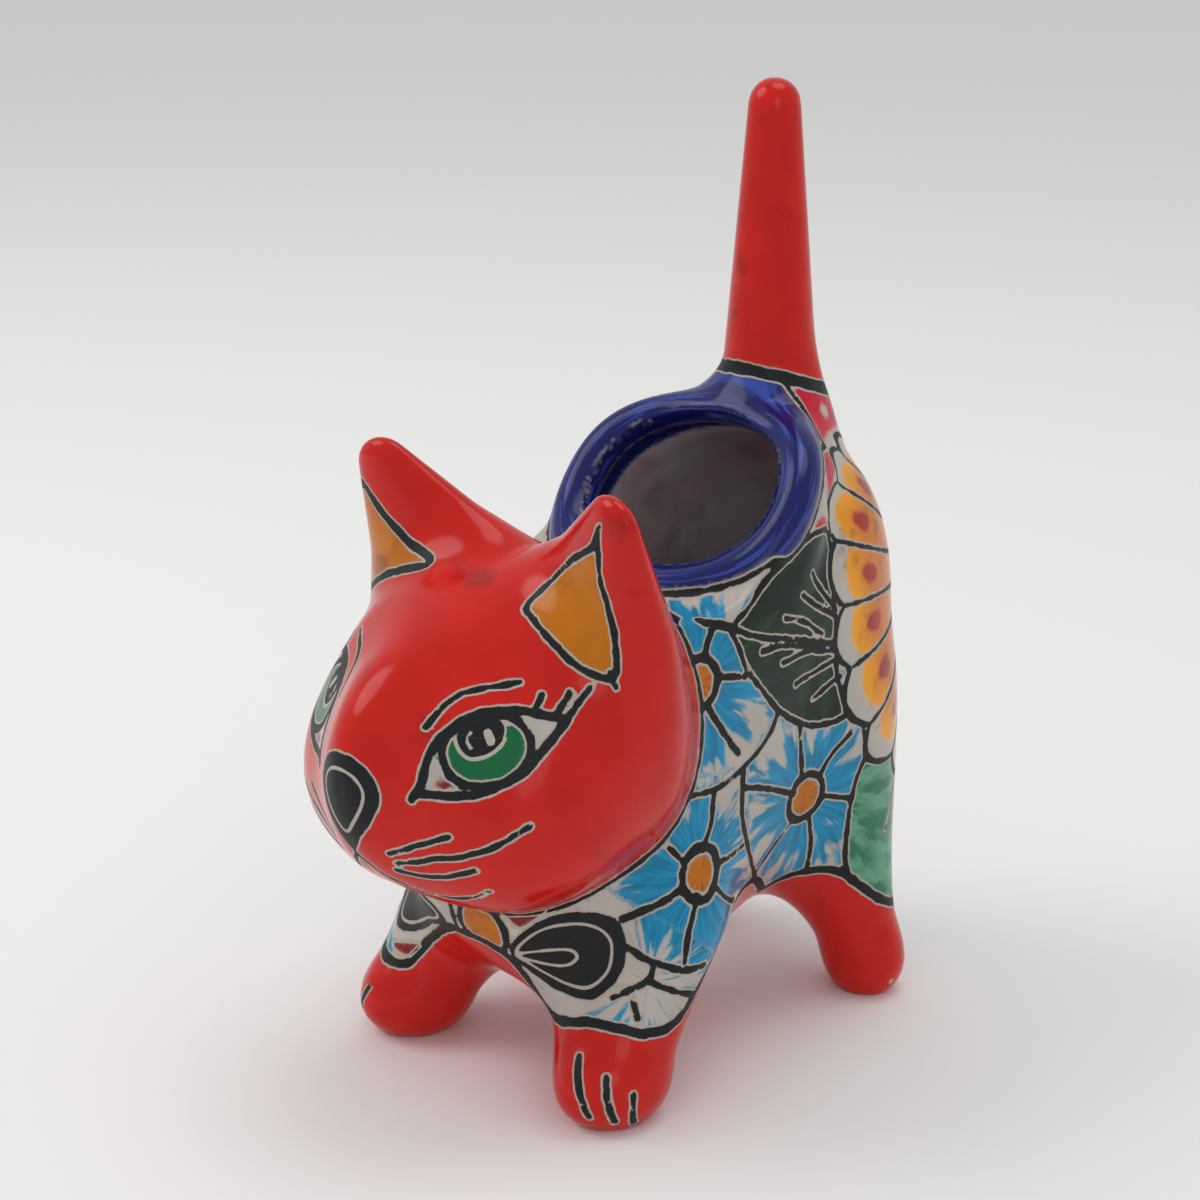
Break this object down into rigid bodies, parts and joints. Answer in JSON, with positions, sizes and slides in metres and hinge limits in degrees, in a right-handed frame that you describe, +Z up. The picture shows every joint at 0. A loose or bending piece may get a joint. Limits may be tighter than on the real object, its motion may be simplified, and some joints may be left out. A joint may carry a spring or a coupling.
{
  "type": "ceramic cat planter",
  "caption": "Standing cat of glazed earthenware, hollow, with a round rolled-lip mouth in its back for a plant and an upright tail",
  "frame": {"origin": "on the ground under the middle of the pot's outer box", "axes": "+Z up along the tail, the cat faces -Y, and its left side is +X"},
  "size_m": [0.1016, 0.1869, 0.2498],
  "materials": {
    "glaze": "gloss"
  },
  "bodies": {
    "root": {"cat_planter": "glaze"}
  },
  "joints": []
}
